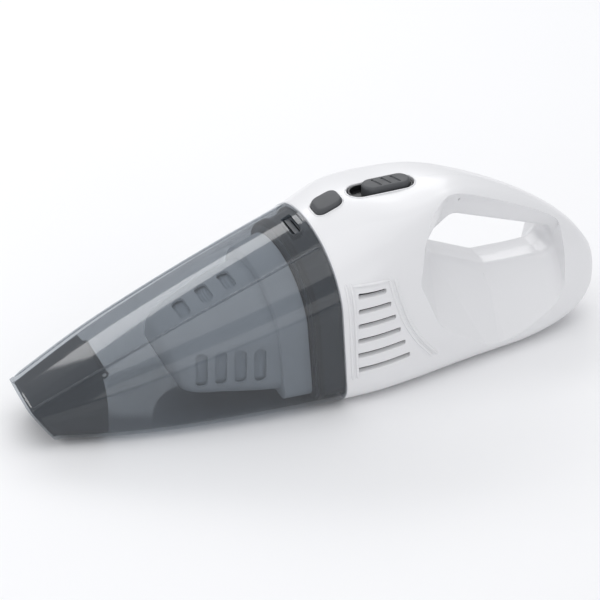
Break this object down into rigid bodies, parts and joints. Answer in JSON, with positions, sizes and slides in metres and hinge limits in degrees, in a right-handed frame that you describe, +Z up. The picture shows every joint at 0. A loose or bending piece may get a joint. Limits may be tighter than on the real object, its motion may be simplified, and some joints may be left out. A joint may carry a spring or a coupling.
{
  "type": "handheld vacuum",
  "caption": "Handheld vacuum with a looped handle, a tinted wedge-shaped dust bowl, a cup filter, a top slide switch and a button that frees the bowl",
  "frame": {"origin": "middle of the footprint box, on the plane that the belly rests on", "axes": "+X runs from the mouth to the tail, +Y is the right-hand side of whoever holds it with the mouth pointing away, +Z is up"},
  "size_m": [0.3676, 0.1046, 0.1157],
  "materials": {
    "white_abs": "satin-gloss white",
    "dark_plastic": "dark grey moulding",
    "tinted_clear": "smoke-tinted clear plastic",
    "rubber": "soft black rubber",
    "steel": "plated steel",
    "filter_white": "white moulding",
    "filter_cloth": "felted cloth",
    "button_grey": "fine-grained dark grey",
    "tray_black": "black moulding",
    "aluminium": "pressed aluminium",
    "brass": "plain brass",
    "can_steel": "zinc-plated can",
    "cell_wrap": "shrink wrap",
    "board_green": "solder mask",
    "foam": "open-cell foam",
    "wire_red": "PVC insulation"
  },
  "bodies": {
    "housing": {"housing_left": "white_abs", "housing_right": "white_abs", "front_bulkhead": "dark_plastic", "bowl_seal": "rubber", "release_latch": "dark_plastic", "release_spring": "steel", "switch_tray": "tray_black", "switch_body": "tray_black", "fan_housing": "dark_plastic", "motor_can": "can_steel", "motor_end_cap": "tray_black", "motor_terminals": "brass", "motor_screws": "steel", "motor_damper": "rubber", "battery_cells": "cell_wrap", "battery_holder": "dark_plastic", "cell_straps": "steel", "charge_board": "board_green", "board_parts": "tray_black", "charge_socket": "tray_black", "foam_left": "foam", "foam_right": "foam", "housing_screws": "steel", "lead_wires": "wire_red"},
    "bowl": {"dust_bowl": "tinted_clear", "intake_duct": "dark_plastic", "flap_pin": "steel"},
    "flap": {"intake_flap": "rubber"},
    "filter": {"filter_frame": "filter_white", "filter_cloth": "filter_cloth", "filter_seal": "rubber"},
    "rotor": {"impeller": "aluminium", "impeller_nut": "brass", "motor_shaft": "steel"},
    "button": {"release_button": "button_grey"},
    "switch": {"switch_knob": "button_grey", "switch_slider": "filter_white"}
  },
  "joints": [
    {"name": "bowl_pull", "type": "slide", "parent": "housing", "child": "bowl", "axis": [-1, 0, 0], "range_m": [0, 0.12], "deforming": ["release_latch"]},
    {"name": "flap_swing", "type": "hinge", "parent": "bowl", "child": "flap", "pos_m": [-0.1375, 0, 0.03813], "axis": [0, -1, 0], "range_deg": [0, 70]},
    {"name": "filter_pull", "type": "slide", "parent": "housing", "child": "filter", "axis": [-1, 0, 0], "range_m": [0, 0.008]},
    {"name": "rotor_spin", "type": "hinge", "parent": "housing", "child": "rotor", "pos_m": [0.006, 0, 0.044], "axis": [1, 0, 0], "continuous": true},
    {"name": "button_press", "type": "slide", "parent": "housing", "child": "button", "axis": [0, 0, -1], "range_m": [0, 0.0025], "stiffness_N_per_m": 400, "deforming": ["release_spring"]},
    {"name": "switch_slide", "type": "slide", "parent": "housing", "child": "switch", "axis": [-1, 0, 0], "range_m": [0, 0.007]}
  ]
}
